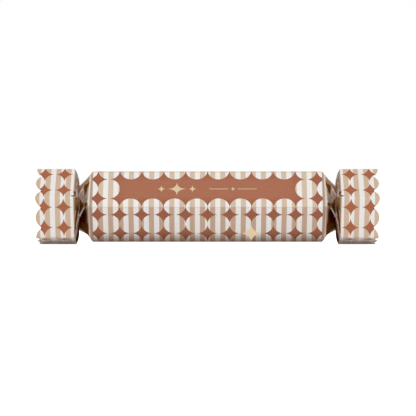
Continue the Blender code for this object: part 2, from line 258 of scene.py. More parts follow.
def circle_print_group():
    """The print: rows of touching circles centred on each panel, and upright stripes.

    A panel is the whole part of the way round over the panel's width. Its rows lie at whole row
    pitches from its own middle line, so that a circle on a crease is made of two cut halves. Each
    front panel's rows slip up by a distance of their own, and the lower one's are multiplied by
    one more than the squeeze. A point is in a circle when its distance from the nearest centre,
    with the row pitch scaled to the column pitch, is under the radius. A stripe is white where
    the way along, over the stripe pitch, is within a quarter of a whole number.
    """
    tree, given, out = new_group(
        "circle_print",
        [(name, "Float") for name in (
            "Along", "Round", "Panel Width", "Column Pitch", "Column Phase", "Row Pitch",
            "Slip Above", "Slip Below", "Squeeze Below", "Circle Radius", "Stripe Pitch",
            "Stripe Phase")],
        [(name, "Float") for name in (
            "Circle", "White Stripe", "Panel", "Share", "Row", "From Row", "From Fold")],
    )
    panels = reckon(tree, "DIVIDE", given["Round"], given["Panel Width"])
    panel = reckon(tree, "FLOOR", panels)
    middle = reckon(tree, "SUBTRACT", reckon(tree, "FRACT", panels), 0.5)
    across = product(tree, middle, given["Panel Width"])
    above = product(tree, same(tree, panel, UPPER_FRONT), given["Slip Above"])
    low_panel = same(tree, panel, LOWER_FRONT)
    below = product(tree, low_panel, given["Slip Below"])
    shifted = reckon(tree, "SUBTRACT", across, reckon(tree, "ADD", above, below))
    squeeze = reckon(tree, "MULTIPLY_ADD", low_panel, given["Squeeze Below"], 1.0)
    rows = product(tree, reckon(tree, "DIVIDE", shifted, given["Row Pitch"]), squeeze)
    row = reckon(tree, "ROUND", rows)
    from_row = reckon(tree, "SUBTRACT", rows, row)
    phased = reckon(tree, "SUBTRACT", given["Along"], given["Column Phase"])
    columns = reckon(tree, "DIVIDE", phased, given["Column Pitch"])
    from_column = reckon(tree, "SUBTRACT", reckon(tree, "FRACT", columns), 0.5)
    distance = reckon(tree, "SQRT", reckon(
        tree, "ADD", product(tree, from_row, from_row), product(tree, from_column, from_column)))
    circle = reckon(tree, "LESS_THAN", distance, given["Circle Radius"])
    stripes = reckon(tree, "DIVIDE", reckon(
        tree, "SUBTRACT", given["Along"], given["Stripe Phase"]), given["Stripe Pitch"])
    off_stripe = reckon(tree, "ABSOLUTE", reckon(
        tree, "SUBTRACT", stripes, reckon(tree, "ROUND", stripes)))
    fold = reckon(tree, "SUBTRACT", 0.5, reckon(tree, "ABSOLUTE", middle))
    results = {
        "Circle": circle,
        "White Stripe": reckon(tree, "LESS_THAN", off_stripe, 0.25),
        "Panel": panel,
        "Share": reckon(tree, "FRACT", panels),
        "Row": row,
        "From Row": product(tree, from_row, given["Row Pitch"]),
        "From Fold": product(tree, fold, given["Panel Width"]),
    }
    for socket, value in results.items():
        tree.links.new(value, out.inputs[socket])
    return tree


MOTTLE_SCALE = 900.0
FIBRE_SCALE = 3500.0
PRESS_LINE_PITCH = 0.0011


def card_grain_group():
    """The card's own surface: a broad mottle of the ink, fine fibres, and upright press lines."""
    tree, given, out = new_group(
        "card_grain",
        [("Place", "Vector"), ("Along", "Float")],
        [("Mottle", "Float"), ("Fibre", "Float"), ("Press Lines", "Float")],
    )
    mottle = wire(tree, "TexNoise", {
        "Vector": given["Place"], "Scale": MOTTLE_SCALE, "Detail": 4.0, "Roughness": 0.6})
    fibre = wire(tree, "TexNoise", {
        "Vector": given["Place"], "Scale": FIBRE_SCALE, "Detail": 3.0})
    lines = reckon(tree, "SINE", product(tree, given["Along"], 2 * math.pi / PRESS_LINE_PITCH))
    tree.links.new(mottle.outputs["Fac"], out.inputs["Mottle"])
    tree.links.new(fibre.outputs["Fac"], out.inputs["Fibre"])
    tree.links.new(lines, out.inputs["Press Lines"])
    return tree


circle_print = circle_print_group()
card_grain = card_grain_group()
NOISE_SPAN = (0.3, 0.7)
PRESS_LINE_TONES = (-1.0, 1.0, 0.975, 1.0)
MOTTLE_TONES = (0.90, 1.08)
MOTTLE_LOST_IN_CIRCLES = 0.8
CREASE_SHADE = (0.0002, 0.0009, 1.0, 0.0, "SMOOTHSTEP")
SATIN_ROUGHNESS = (0.42, 0.55)
PRINT_SPECULAR = 0.2
FOLD_SPECULAR = 0.05
PRINT_BUMP = 0.12
BOARD_BUMP = 0.35
BOARD_ROUGHNESS = 0.85
BUMP_DISTANCE = 0.0001
GOLD_FOIL = linear(224, 202, 166)
FOIL_ROUGHNESS = 0.35
FOIL_METALLIC = 0.25


def new_material(name):
    """A node material with its Principled shader."""
    material = bpy.data.materials.new(name)
    material.use_nodes = True
    tree = material.node_tree
    return material, tree, tree.nodes["Principled BSDF"]


def printed_card(name, layout, inks, foil=None, folds=None, dent_shadow=None):
    """Satin printed boxboard. The layout gives the print's pitches.

    Each of the three inks has a tone for the whole card and one for the lower front panel,
    where a darker tone is painted shade. The crease is what the ink is multiplied by along a
    crease: painted shade in its groove. The underside is the heights from which and to which
    the ink turns into that share of itself: painted shade, darker towards the bottom. Foil is
    a function that adds gold to the print, folds one that paints shade and highlights on
    crumpled card, and the last function masks a painted shadow in a small dent.
    """
    material, tree, shader = new_material(name)
    along, way_round, _ = parts_of(tree, wire(tree, "UVMap", uv_map="print").outputs[0])
    place = wire(tree, "TexCoord").outputs["Object"]
    art = use_group(tree, circle_print, {"Along": along, "Round": way_round, **layout})
    grain = use_group(tree, card_grain, {"Place": place, "Along": along})
    circle = art["Circle"]
    # The lower front panel's darker tones are painted shade.
    lower = same(tree, art["Panel"], LOWER_FRONT)
    white, beige, rust = (tint(tree, lower, *inks[name]) for name in ("white", "beige", "rust"))
    if foil:
        circle, gold, paler = foil(tree, along, art)
        rust = tint(tree, paler, rust, inks["band"])
    ink = tint(tree, art["White Stripe"], beige, white)
    ink = tint(tree, circle, rust, ink)
    lines = ramp(tree, grain["Press Lines"], *PRESS_LINE_TONES)
    ink = times(tree, ink, lines)
    mottle = ramp(tree, grain["Mottle"], *NOISE_SPAN, *MOTTLE_TONES)
    mottled = outside(tree, product(tree, circle, MOTTLE_LOST_IN_CIRCLES))
    ink = tint(tree, mottled, ink, mottle, "MULTIPLY")
    # Painted shade along each crease, in its groove.
    if "crease" in inks:
        painted_shade = ramp(tree, art["From Fold"], *CREASE_SHADE)
        ink = tint(tree, painted_shade, ink, inks["crease"], "MULTIPLY")
    roughness = ramp(tree, grain["Mottle"], *NOISE_SPAN, *SATIN_ROUGHNESS)
    # The folds add painted shade and painted highlights.
    if folds:
        ink, shade = folds(tree, ink, place, art)
        roughness = part_way(tree, shade, roughness, 1.0)
    shader.inputs["Specular IOR Level"].default_value = FOLD_SPECULAR if folds else PRINT_SPECULAR
    # Painted shade, darker towards the bottom.
    if "underside" in inks:
        top, bottom, dark = inks["underside"]
        low = ramp(tree, parts_of(tree, place)[2], top, bottom)
        ink = tint(tree, low, ink, dark, "MULTIPLY")
    # A painted shadow in a small dent of the card.
    if dent_shadow:
        ink = tint(tree, dent_shadow(tree, place), ink, inks["dent_shadow"])
    height = wire(tree, "Bump", {
        "Strength": PRINT_BUMP, "Distance": BUMP_DISTANCE, "Height": grain["Fibre"]})
    if foil:
        ink = tint(tree, gold, ink, GOLD_FOIL)
        roughness = part_way(tree, gold, roughness, FOIL_ROUGHNESS)
        tree.links.new(product(tree, gold, FOIL_METALLIC), shader.inputs["Metallic"])
    tree.links.new(ink, shader.inputs["Base Color"])
    tree.links.new(roughness, shader.inputs["Roughness"])
    tree.links.new(height.outputs[0], shader.inputs["Normal"])
    return material


def plain_board(name, colour, contrast):
    """Uncoated board: fibres and a faint mottle, with no print."""
    material, tree, shader = new_material(name)
    place = wire(tree, "TexCoord").outputs["Object"]
    grain = use_group(tree, card_grain, {"Place": place, "Along": 0.0})
    shade = ramp(tree, grain["Mottle"], *NOISE_SPAN, 1 - contrast, 1.0)
    ink = times(tree, colour, shade)
    height = wire(tree, "Bump", {
        "Strength": BOARD_BUMP, "Distance": BUMP_DISTANCE, "Height": grain["Fibre"]})
    tree.links.new(ink, shader.inputs["Base Color"])
    tree.links.new(height.outputs[0], shader.inputs["Normal"])
    shader.inputs["Roughness"].default_value = BOARD_ROUGHNESS
    shader.inputs["Specular IOR Level"].default_value = PRINT_SPECULAR
    return material


BARREL_PITCH = 0.01555
CIRCLE_SHARE = 0.502
STRIPE_PITCH = 0.00722
BARREL_LAYOUT = {
    "Panel Width": BARREL_RADIUS,
    "Column Pitch": BARREL_PITCH,
    "Column Phase": 0.0001,
    "Row Pitch": BARREL_PITCH,
    "Slip Above": 0.00045,
    "Slip Below": 0.0006,
    "Squeeze Below": 0.0,
    "Circle Radius": CIRCLE_SHARE,
    "Stripe Pitch": STRIPE_PITCH,
    "Stripe Phase": 0.0001,
}
# The lower front panel's beige and rust are darker: painted shade. The crease multiplier is painted
# shade along the creases, and the underside is painted shade that turns the card dark towards the
# bottom.
BARREL_INKS = {
    "white": (linear(238, 235, 232), linear(238, 235, 232)),
    "beige": (linear(212, 190, 167), linear(197, 167, 144)),
    "rust": (linear(158, 94, 68), linear(154, 94, 69)),
    "band": linear(171, 109, 82),
    "crease": (0.88, 0.82, 0.78, 1.0),
    "underside": (-0.0177, -0.0260, (0.14, 0.05, 0.0, 1.0)),
}
BAND_HALF_LENGTH = 4 * BARREL_PITCH
STARS = ((-0.0216, 0.0075, 0.0058), (-0.0326, 0.0032, 0.0034), (-0.0106, 0.0032, 0.0034),
         (0.0181, 0.0022, 0.0022))
RULES = ((0.0012, 0.0148), (0.0214, 0.0350))
RULE_HALF_WIDTH = 0.00022
PALER_FROM_BELOW = (0.10, 0.30)
PALER_FROM_ABOVE = (0.96, 0.72)
PALER_FROM_ENDS = (0.072, 0.058)
GOLD_GAP_X = 2 * BARREL_PITCH


def band_and_foil(tree, along, art):
    """Takes the circles out of the label band, and puts foil stars and rules on it.

    A star is where the square roots of the shares of its half width and half height add up to
    less than one, which gives four points with hollow sides. One gap between four circles of the
    lower front panel is foil as well. It returns the circles that are left, the gold, and where
    the rust is paler: over the band, and less and less in the gaps round it.
    """
    upper_front = same(tree, art["Panel"], UPPER_FRONT)
    lower_front = same(tree, art["Panel"], LOWER_FRONT)
    middle_row = same(tree, art["Row"], 0.0)
    lowest_row = same(tree, art["Row"], -1.0)
    from_middle = reckon(tree, "ABSOLUTE", along)
    along_band = reckon(tree, "LESS_THAN", from_middle, BAND_HALF_LENGTH)
    band = product(tree, upper_front, middle_row, along_band)
    circle = product(tree, art["Circle"], outside(tree, band))
    ornaments = []
    for centre, half_width, half_height in STARS:
        sideways = reckon(tree, "ABSOLUTE", reckon(tree, "SUBTRACT", along, centre))
        sideways = reckon(tree, "SQRT", reckon(tree, "DIVIDE", sideways, half_width))
        upwards = reckon(tree, "DIVIDE", reckon(tree, "ABSOLUTE", art["From Row"]), half_height)
        inside = reckon(tree, "ADD", sideways, reckon(tree, "SQRT", upwards))
        ornaments.append(reckon(tree, "LESS_THAN", inside, 1.0))
    for start, end in RULES:
        within = reckon(tree, "COMPARE", along, (start + end) / 2, (end - start) / 2)
        thin = reckon(tree, "COMPARE", art["From Row"], 0.0, RULE_HALF_WIDTH)
        ornaments.append(product(tree, within, thin))
    gap = reckon(tree, "COMPARE", along, GOLD_GAP_X, BARREL_PITCH / 2)
    below_middle = product(tree, reckon(tree, "LESS_THAN", art["From Row"], 0.0), middle_row)
    above_lowest = product(tree, reckon(tree, "GREATER_THAN", art["From Row"], 0.0), lowest_row)
    gold_gap = product(tree, either(tree, below_middle, above_lowest), gap,
                       outside(tree, circle), lower_front)
    gold = either(tree, product(tree, either(tree, *ornaments), band), gold_gap)
    paler = product(tree, upper_front, ramp(tree, art["Share"], *PALER_FROM_BELOW),
                    ramp(tree, art["Share"], *PALER_FROM_ABOVE),
                    ramp(tree, from_middle, *PALER_FROM_ENDS))
    return circle, gold, paler


sleeve_print = printed_card("sleeve_print", BARREL_LAYOUT, BARREL_INKS, band_and_foil)
board_inside = plain_board("board_inside", linear(226, 220, 210), 0.06)
board_edge = plain_board("board_edge", linear(214, 204, 190), 0.15)


def sleeve_grid():
    """The sleeve's section, swept along X: the flap, then the creases from the rear round below."""
    ring = round_axis(0.0, BARREL_RADIUS, FOLD_NUMBERS * SIDE_ANGLE)
    down = (ring[1] - ring[0]) / BARREL_RADIUS
    inwards = (ring[-2] - ring[-1]) / BARREL_RADIUS
    tuck = ring[0] + down * FLAP_TUCK
    flap = tuck + inwards * FLAP_WIDTH
    places = np.concatenate([[flap, tuck], ring[1:]])
    ring_prints = FOLD_NUMBERS * BARREL_RADIUS
    way_round = np.concatenate([[ring_prints[0] - FLAP_WIDTH], ring_prints])
    x = close_ends(np.linspace(-RIM_X, RIM_X, SLEEVE_ROWS + 1))
    corners = np.zeros((len(x), len(places), PRINT_VALUES))
    corners[..., :3] = places
    corners[..., 0] = x[:, None]
    corners[..., 3] = x[:, None]
    corners[..., 4] = way_round
    return fold_rows(corners, FOLD_SETBACK, flat_steps=10)


sleeve = card_piece("printed_sleeve", sleeve_grid(), (sleeve_print, board_inside, board_edge))
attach(sleeve, "barrel")
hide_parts("barrel_sleeve")


# NECKS
# The same card, scored and twisted. A short plain funnel leads from the barrel's rim to six sharp
# folds, which turn as they fall to the waist and open out again to the end. Each fold overhangs a
# narrow deep pocket.
WAIST_SHIFT = 0.0007
WAIST_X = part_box("right_shoulder")[1].x + WAIST_SHIFT
MOUTH_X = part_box("right_frill")[0].x
WAIST_FOLD_RADIUS = 0.0160
WAIST_POCKET_RADIUS = 0.0075
WAIST_TURN = math.radians(23.0)
WAIST_SAG = 0.0011
RIM_POCKET_ANGLE = 16.0
WAIST_POCKET_ANGLE = 26.0
END_POCKET_ANGLE = 30.0
END_TURN = math.radians(45.6)
END_RADIUS = 0.0284
POCKET_SHARE = 0.34
SHOULDER_ROWS = 44
COLLAR_ROWS = 24
FUNNEL_SHARE = 0.34
FALL_POWER = 1.15
LEAN_START = 0.05
LEAN_SHARE = 0.34
FOLD_LEAN = np.radians([0, 8, -8, -3, 17, 4, 0])
FRONT_LEAN = 0.0010
LOW_CREASE_SLIP = math.radians(3.5)
END_DROP = 0.00036


def mix(a, b, t):
    """A value part of the way from a to b."""
    return a + (b - a) * t


def on_side(radius, from_corner):
    """How far a hexagon's side lies from the axis, at an angle counted from its corner."""
    return radius * math.cos(SIDE_ANGLE / 2) / np.cos(SIDE_ANGLE / 2 - from_corner)


def star_rows(x, fold_radius, pocket_radius, turn, lean, pocket_angle, course, drop):
    """Rows of thirteen corners: six folds, each with a pocket below it, closed at the rear.

    The lean turns each fold by itself, and its pocket by half as much. With the square of the
    course, the drop grows to the waist's sag, and the front leans towards the barrel by the square
    of the cosine of the angle from the front.
    """
    sag = course[:, None] ** 2
    fold_angles = FOLD_NUMBERS * SIDE_ANGLE - turn[:, None] - lean
    folds = round_axis(x[:, None], fold_radius[:, None], fold_angles)
    pocket_angles = (fold_angles + lean / 2)[:, 1:] - pocket_angle[:, None]
    pockets = round_axis(x[:, None], pocket_radius[:, None], pocket_angles)
    corners = np.zeros((len(x), 2 * SIDES + 1, COURSE_VALUES))
    corners[..., 5] = course[:, None]
    corners[:, 0::2, :3] = folds
    corners[:, 1::2, :3] = pockets
    corners[:, 0::2, 4] = FOLD_NUMBERS * BARREL_RADIUS
    corners[:, 1::2, 4] = (FOLD_NUMBERS[1:] - POCKET_SHARE) * BARREL_RADIUS
    steps = np.linalg.norm(np.diff(corners[..., :3], axis=0), axis=-1)
    corners[1:, :, 3] = np.cumsum(steps, axis=0)
    facing = np.zeros(corners.shape[:2])
    facing[:, 0::2] = np.cos(fold_angles)
    facing[:, 1::2] = np.cos(pocket_angles)
    corners[..., 0] -= FRONT_LEAN * sag * np.maximum(facing, 0) ** 2
    corners[..., 2] -= mix(drop, WAIST_SAG, sag)
    return corners


def shoulder_rows():
    """From the rim, s = 0, to the waist, s = 1.

    The folds fall with s to the fall power. The pockets lie in the funnel's sides up to its
    share, then sink as one less the cube of what is left. The turn grows with the fourth power.
    Each fold's lean grows to its whole at the lean's share, by three times the square less twice
    the cube of the way there, and shrinks evenly to none.
    """
    s = close_ends(np.linspace(0, 1, SHOULDER_ROWS + 1))
    fold_radius = mix(BARREL_RADIUS, WAIST_FOLD_RADIUS, s**FALL_POWER)
    pocket_angle = np.radians(mix(RIM_POCKET_ANGLE, WAIST_POCKET_ANGLE, s))
    sunk = np.clip((s - FUNNEL_SHARE) / (1 - FUNNEL_SHARE), 0, 1)
    flat = on_side(fold_radius, pocket_angle)
    pocket_radius = mix(flat, WAIST_POCKET_RADIUS, 1 - (1 - sunk) ** 3)
    leaning = np.clip((s - LEAN_START) / (LEAN_SHARE - LEAN_START), 0, 1)
    leaning = leaning**2 * (3 - 2 * leaning) * np.minimum((1 - s) / (1 - LEAN_SHARE), 1)
    return star_rows(
        mix(RIM_X, WAIST_X, s), fold_radius, pocket_radius, WAIST_TURN * s**4,
        leaning[:, None] * FOLD_LEAN, pocket_angle, s, 0.0)


def collar_rows():
    """From the waist, s = 0, to the end, s = 1, with more rows near the waist.

    The wall bulges: it opens and turns with the square root of s. The lowest fold in front turns
    evenly, and its crease slips down. Each pocket comes out to the middle between its folds with
    the fourth power.
    """
    s = close_ends(np.linspace(0, 1, COLLAR_ROWS + 1) ** 2)
    pocket_angle = np.radians(mix(WAIST_POCKET_ANGLE, END_POCKET_ANGLE, s))
    rim = END_RADIUS * math.cos(SIDE_ANGLE / 2)
    rise = np.sqrt(s)
    lean = np.zeros((len(s), SIDES + 1))
    lean[:, SIDES // 2] = (END_TURN - WAIST_TURN) * (s - rise) + LOW_CREASE_SLIP * s
    rows = star_rows(
        mix(WAIST_X, MOUTH_X, s), mix(WAIST_FOLD_RADIUS, END_RADIUS, rise),
        mix(WAIST_POCKET_RADIUS, rim, rise), mix(WAIST_TURN, END_TURN, rise),
        lean, pocket_angle, 1 - s, END_DROP)
    between = (rows[:, :-2:2, :3] + rows[:, 2::2, :3]) / 2
    rows[:, 1::2, :3] = mix(rows[:, 1::2, :3], between, s[:, None, None] ** 4)
    return rows


# Where the folds' painted shade and painted highlights start and stop. Courses and shares of a
# panel run from 0 to 1, and heights are metres above the axis. The first two numbers are where a
# mask starts and where it is whole, and two more are its values there. A name with NEAR has a
# middle, then the distances from it at which the mask starts to fade and is gone.
LOWER_SIDE_PANEL = (-0.4, -0.6)
CREST_WIDTH = (0.0004, 0.0001)
CREST_STRENGTH = 0.75
# The wrinkles' noise paints their light and shade.
WRINKLES_ROUND = 10.0
WRINKLES_ALONG = 5.0
WRINKLE_SHADING_TONES = (0.38, 0.62, 0.56, 1.26)
# Painted colours: a shaded white past the funnel, a glint, and the crests' pale, which is partly
# wear and partly painted highlight.
SHADED_WHITE = linear(212, 190, 174)
GLINT_HIGHLIGHT = linear(240, 228, 220)
CREST_WEAR_AND_HIGHLIGHT = linear(216, 196, 180)

FUNNEL_END_COURSE = (0.29, 0.33)
FUNNEL_SHORTER_UP = (0.0090, 0.0165, 0.0, 0.09)
FUNNEL_SHORTER_BELOW = (0.001, -0.001, 0.0, 0.045)
TOP_FACET_UP = (0.0186, 0.0196)
BROWN_COURSE = (0.10, 0.16)
GLINT_NEAR_COURSE = (0.645, 0.02, 0.05)
GLINT_NEAR_SHARE = (0.58, 0.06, 0.10)
UNDER_FOLD_SHARE = (0.75, 0.81)
UNDER_FOLD_COURSE = (0.67, 0.60)
DULL_NEAR_SHARE = (0.84, 0.06, 0.10)
DULL_NEAR_COURSE = (0.76, 0.07, 0.11)
DULL_STRENGTH = 0.35
GUTTER_SLOPE = -1.15
GUTTER_SLANT = (-0.22, -0.30)
STREAK_NEAR_COURSE = (0.645, 0.03, 0.08, 0.35, 1.0)
SLIVER_COURSE = (0.44, 0.36)
SLIVER_UP = (-0.0125, -0.0080)
OLIVE_COURSE = (0.62, 0.50)
OLIVE_UP = (-0.0105, -0.0135)
LOW_CREST_UP = (-0.0135, -0.0115)
PALE_CREST_UP = (0.0, 0.0060)
# Painted shade colours: a facet near the top, the funnel's grey edge, the gutter, the pocket's
# maroon and olive, and the crests lower down.
FACET_SHADE = linear(176, 140, 116)
SLIVER_SHADE = linear(160, 138, 122)
GUTTER_SHADE = linear(112, 66, 4)
MAROON_SHADE = linear(82, 4, 0)
OLIVE_SHADE = linear(104, 58, 0)
LOW_CREST_SHADE = linear(166, 140, 122)

COLLAR_WRINKLE_COURSE = (0.15, 0.45)
REAR_SHARE = (0.64, 0.58)
REAR_COURSE = (0.06, 0.14)
WEDGE_MIDDLE = (-0.002, -0.018, 0.68, 0.24)
WEDGE_NEAR_MIDDLE = (0.0, 0.13, 0.19)
WEDGE_TOP_UP = (0.001, -0.001)
WEDGE_BOTTOM_UP = (-0.0196, -0.0183)
FACE_NEAR_COURSE = (0.58, 0.26, 0.34)
FACE_NEAR_UP = (0.0022, 0.0040, 0.0052)
# Painted shade colours of the collar: its dull olive face and its dark wedge.
FACE_SHADE = linear(158, 120, 70)
WEDGE_SHADE = linear(98, 46, 6)

# A painted shadow in a small curl of card, where the upper fold meets the end.
CURL_X = 0.0950
CURL_Z = 0.0094
CURL_NEAR_RADIUS = (0.0014, 0.0003, 0.0006)
CURL_OPEN_OUTWARDS = (0.0001, -0.0002)
CURL_OPEN_UP = (-0.0008, -0.0012)
CURL_FRONT_Y = (0.0, -0.005)
CURL_SHADOW = linear(84, 46, 4)


def near(tree, value, middle, inner, outer, low=1.0, high=0.0):
    """Runs from low to high as a value leaves its middle, from the inner to the outer distance."""
    away = reckon(tree, "ABSOLUTE", reckon(tree, "SUBTRACT", value, middle))
    return ramp(tree, away, inner, outer, low, high)


def crumple_values(tree, place, art):
    """What the folds' shading reads.

    The share of the way along them, the height, the crests, which are partly wear and partly
    painted highlight, the lower side, and the wrinkles' painted light and shade.
    """
    course = wire(tree, "Attribute", attribute_name="course").outputs["Fac"]
    up = parts_of(tree, place)[2]
    crest = ramp(tree, art["From Fold"], *CREST_WIDTH)
    lower = ramp(tree, art["Panel"], *LOWER_SIDE_PANEL)
    crumples = wire(tree, "CombineXYZ", {
        0: product(tree, art["Share"], WRINKLES_ROUND), 1: product(tree, course, WRINKLES_ALONG),
        2: art["Panel"]})
    wrinkle = wire(tree, "TexNoise", {"Vector": crumples.outputs[0], "Scale": 1.0, "Detail": 3.0})
    return course, up, crest, lower, ramp(tree, wrinkle.outputs["Fac"], *WRINKLE_SHADING_TONES)


def shoulder_shade(tree, ink, place, art):
    """Painted shade and painted highlights in the shoulder's folds, past the plain funnel.

    Past the funnel the print gives way to a painted shaded white, lighter and darker over the
    wrinkles, with one painted glint, and a facet near the top is painted in shade. The upper
    side has painted shade under a fold beside the funnel, and in the gutter above the next
    fold, but for one lighter painted streak. On the lower side the whole pocket is painted in
    shade behind a narrow painted grey edge: maroon, and olive towards the funnel and the floor.
    The crests are pale, partly wear and partly painted highlight, and painted duller lower down.
    """
    course, up, crest, lower, wrinkle = crumple_values(tree, place, art)
    share = art["Share"]
    front = same(tree, art["Panel"], UPPER_FRONT)
    high = same(tree, art["Panel"], TOP_PANEL)
    edge = reckon(tree, "ADD", course, ramp(tree, up, *FUNNEL_SHORTER_UP))
    edge = reckon(tree, "ADD", edge, ramp(tree, up, *FUNNEL_SHORTER_BELOW))
    top_facet = product(tree, high, ramp(tree, up, *TOP_FACET_UP))
    past = product(tree, ramp(tree, edge, *FUNNEL_END_COURSE), outside(tree, top_facet))
    painted_shade = times(tree, SHADED_WHITE, wrinkle)
    glint = product(tree, near(tree, course, *GLINT_NEAR_COURSE),
                    near(tree, share, *GLINT_NEAR_SHARE))
    ink = tint(tree, past, ink, tint(tree, glint, painted_shade, GLINT_HIGHLIGHT))
    brown = product(tree, high, ramp(tree, up, *TOP_FACET_UP[::-1]),
                    ramp(tree, course, *BROWN_COURSE))
    ink = tint(tree, brown, ink, FACET_SHADE)
    under_fold = product(tree, front, ramp(tree, share, *UNDER_FOLD_SHARE),
                         ramp(tree, course, *UNDER_FOLD_COURSE))
    dull = product(tree, front, near(tree, share, *DULL_NEAR_SHARE),
                   near(tree, course, *DULL_NEAR_COURSE), DULL_STRENGTH)
    slant = reckon(tree, "MULTIPLY_ADD", course, GUTTER_SLOPE, share)
    gutter = product(tree, front, ramp(tree, slant, *GUTTER_SLANT),
                     near(tree, course, *STREAK_NEAR_COURSE))
    shade = part_way(tree, lower, either(tree, under_fold, dull, gutter), 1.0)
    sliver = product(tree, lower, ramp(tree, course, *SLIVER_COURSE), ramp(tree, up, *SLIVER_UP))
    shade = product(tree, reckon(tree, "SUBTRACT", shade, sliver), past)
    ink = tint(tree, product(tree, sliver, past), ink, SLIVER_SHADE)
    olive = either(tree, ramp(tree, course, *OLIVE_COURSE), ramp(tree, up, *OLIVE_UP))
    pocket = tint(tree, olive, MAROON_SHADE, OLIVE_SHADE)
    ink = tint(tree, shade, ink, tint(tree, lower, GUTTER_SHADE, pocket))
    crest = product(tree, crest, past, ramp(tree, up, *LOW_CREST_UP), CREST_STRENGTH)
    pale = tint(tree, ramp(tree, up, *PALE_CREST_UP), LOW_CREST_SHADE, CREST_WEAR_AND_HIGHLIGHT)
    return tint(tree, crest, ink, pale), shade


def collar_shade(tree, ink, place, art):
    """Painted shade in the collar's folds.

    A wedge in front is painted dark, and so are the faces that look down at the back. The face
    between the front folds is painted a dull olive shade. The wrinkles are painted lighter and
    darker, and the crests pale, partly wear and partly painted highlight.
    """
    course, up, crest, lower, wrinkle = crumple_values(tree, place, art)
    ink = tint(tree, ramp(tree, course, *COLLAR_WRINKLE_COURSE), ink, times(tree, ink, wrinkle))
    rear = product(tree, lower, ramp(tree, art["Share"], *REAR_SHARE),
                   ramp(tree, course, *REAR_COURSE))
    from_middle = reckon(tree, "SUBTRACT", course, ramp(tree, up, *WEDGE_MIDDLE))
    wedge = product(tree, near(tree, from_middle, *WEDGE_NEAR_MIDDLE),
                    ramp(tree, up, *WEDGE_TOP_UP), ramp(tree, up, *WEDGE_BOTTOM_UP),
                    outside(tree, lower))
    face = product(tree, near(tree, course, *FACE_NEAR_COURSE), near(tree, up, *FACE_NEAR_UP))
    ink = tint(tree, face, ink, times(tree, FACE_SHADE, wrinkle))
    shade = either(tree, rear, wedge)
    ink = tint(tree, shade, ink, WEDGE_SHADE)
    ink = tint(tree, product(tree, crest, CREST_STRENGTH), ink, CREST_WEAR_AND_HIGHLIGHT)
    return ink, either(tree, shade, face)


def painted_curl_shadow(tree, place):
    """A painted shadow in front, where the upper fold runs into the end: most of a thin ring."""
    x, y, z = parts_of(tree, place)
    outwards = reckon(tree, "SUBTRACT", reckon(tree, "ABSOLUTE", x), CURL_X)
    upwards = reckon(tree, "SUBTRACT", z, CURL_Z)
    distance = reckon(tree, "SQRT", reckon(
        tree, "ADD", product(tree, outwards, outwards), product(tree, upwards, upwards)))
    kept = either(tree, ramp(tree, outwards, *CURL_OPEN_OUTWARDS),
                  ramp(tree, upwards, *CURL_OPEN_UP))
    return product(tree, near(tree, distance, *CURL_NEAR_RADIUS), kept,
                   ramp(tree, y, *CURL_FRONT_Y))


END_LAYOUT = {
    "Panel Width": END_RADIUS,
    "Column Pitch": 0.0139,
    "Column Phase": 0.1018,
    "Row Pitch": 0.0153,
    "Slip Above": 0.00095,
    "Slip Below": 0.00035,
    "Squeeze Below": 0.055,
    "Circle Radius": CIRCLE_SHARE,
    "Stripe Pitch": STRIPE_PITCH,
    "Stripe Phase": 0.10965,
}
NO_GAPS = 0.8
NECK_LAYOUT = {**BARREL_LAYOUT, "Circle Radius": NO_GAPS, "Stripe Phase": -0.0007}
# The neck's inks are darker than the sleeve's, painted shade in its folds, and darker again on the
# lower front panel.
NECK_INKS = {
    "white": (linear(229, 222, 216), linear(212, 197, 188)),
    "beige": (linear(190, 158, 136), linear(182, 148, 127)),
    "rust": (linear(150, 90, 68), linear(150, 90, 68)),
}
COLLAR_LAYOUT = {**END_LAYOUT, "Circle Radius": NO_GAPS}
# The collar's inks are browner and darker than the end's: painted shade on its wall.
COLLAR_INKS = {
    "white": (linear(214, 193, 177), linear(214, 193, 177)),
    "beige": (linear(192, 161, 139), linear(192, 161, 139)),
    "rust": (linear(140, 92, 76), linear(140, 92, 76)),
    "dent_shadow": CURL_SHADOW,
}
neck_print = printed_card("neck_print", NECK_LAYOUT, NECK_INKS, folds=shoulder_shade)
collar_print = printed_card(
    "collar_print", COLLAR_LAYOUT, COLLAR_INKS, folds=collar_shade, dent_shadow=painted_curl_shadow)
NECK_FOLD_SETBACK = 0.00035

for side, name in ((-1, "left"), (1, "right")):
    rows = shoulder_rows()
    rows[..., 3] += RIM_X
    rows[..., 0] *= side
    grid = fold_rows(rows, NECK_FOLD_SETBACK)
    shoulder = card_piece(f"{name}_folded_shoulder", grid, (neck_print, board_inside, board_edge),
                          flip=side < 0)
    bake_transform(shoulder)
    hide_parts(f"{name}_shoulder")
    rows = collar_rows()
    rows[..., 3] += MOUTH_X - rows[-1:, :, 3]
    rows[..., 4] *= END_RADIUS / BARREL_RADIUS
    rows[..., 0] *= side
    grid = fold_rows(rows, NECK_FOLD_SETBACK)
    collar = card_piece(f"{name}_folded_collar", grid, (collar_print, board_inside, board_edge),
                        flip=side < 0)
    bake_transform(collar)
    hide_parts(f"{name}_collar")


# ENDS
# The card beyond each neck is a hexagon again, turned against the barrel. Its outer edge is die-cut
# in scallops round the printed circles, two for each panel.
TIP_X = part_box("right_frill")[1].x
SCALLOP_RADIUS = 0.0076
SCALLOP_DEPTH = 0.0038
SCALLOP_WIDTH = END_RADIUS / 2
END_ROWS = 28
END_STRETCH = 1.002
END_FOLD_SETBACK = 0.0008
RIGHT_PRINT_SLIP = 0.00035
